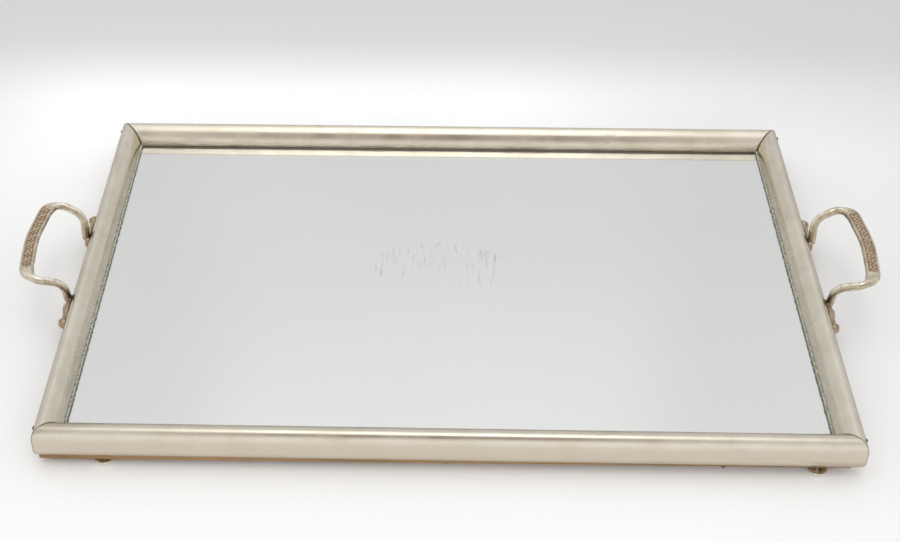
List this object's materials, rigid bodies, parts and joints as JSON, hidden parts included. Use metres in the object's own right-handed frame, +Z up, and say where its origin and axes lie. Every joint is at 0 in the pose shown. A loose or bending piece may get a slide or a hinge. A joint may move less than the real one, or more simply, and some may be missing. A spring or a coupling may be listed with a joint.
{
  "type": "dresser vanity tray",
  "caption": "Rectangular mirror tray in a rounded plated metal frame with two raised cast handles and small domed glides.",
  "frame": {"origin": "middle of the surface that the tray stands on, under the centre of the frame", "axes": "+X along the tray from the left handle to the right handle, +Y from the front edge to the back edge, +Z up"},
  "size_m": [0.5136, 0.3008, 0.0418],
  "materials": {
    "plating": "warm nickel plate on rolled sheet, satin to bright, stained and rubbed with age",
    "handle_bronze": "cast brass with worn nickel plate and brown patina in the recesses",
    "screw": "domed screw head, patinated like the handles",
    "nail": "small plated nail head",
    "glide": "pressed domed glide, dull nickel",
    "brad": "dull steel",
    "mirror": "clear mirror glass, lightly scratched and smudged",
    "card": "grey-brown packing card",
    "board_wood": "thin brown plywood, unvarnished",
    "core_wood": "planed softwood moulding"
  },
  "bodies": {
    "root": {"front_rail": "plating", "front_core": "core_wood", "right_rail": "plating", "right_core": "core_wood", "back_rail": "plating", "back_core": "core_wood", "left_rail": "plating", "left_core": "core_wood", "mirror_glass": "mirror", "packing_card": "card", "backing_board": "board_wood", "right_handle": "handle_bronze", "left_handle": "handle_bronze", "left_handle_front_screw": "screw", "front_left_corner_nail": "nail", "front_left_glide": "glide", "left_handle_back_screw": "screw", "back_left_corner_nail": "nail", "back_left_glide": "glide", "right_handle_front_screw": "screw", "front_right_corner_nail": "nail", "front_right_glide": "glide", "right_handle_back_screw": "screw", "back_right_corner_nail": "nail", "back_right_glide": "glide", "board_brad_1": "brad", "board_brad_2": "brad", "board_brad_3": "brad", "board_brad_4": "brad", "board_brad_5": "brad", "board_brad_6": "brad", "board_brad_7": "brad", "board_brad_8": "brad", "board_brad_9": "brad", "board_brad_10": "brad"}
  },
  "joints": []
}
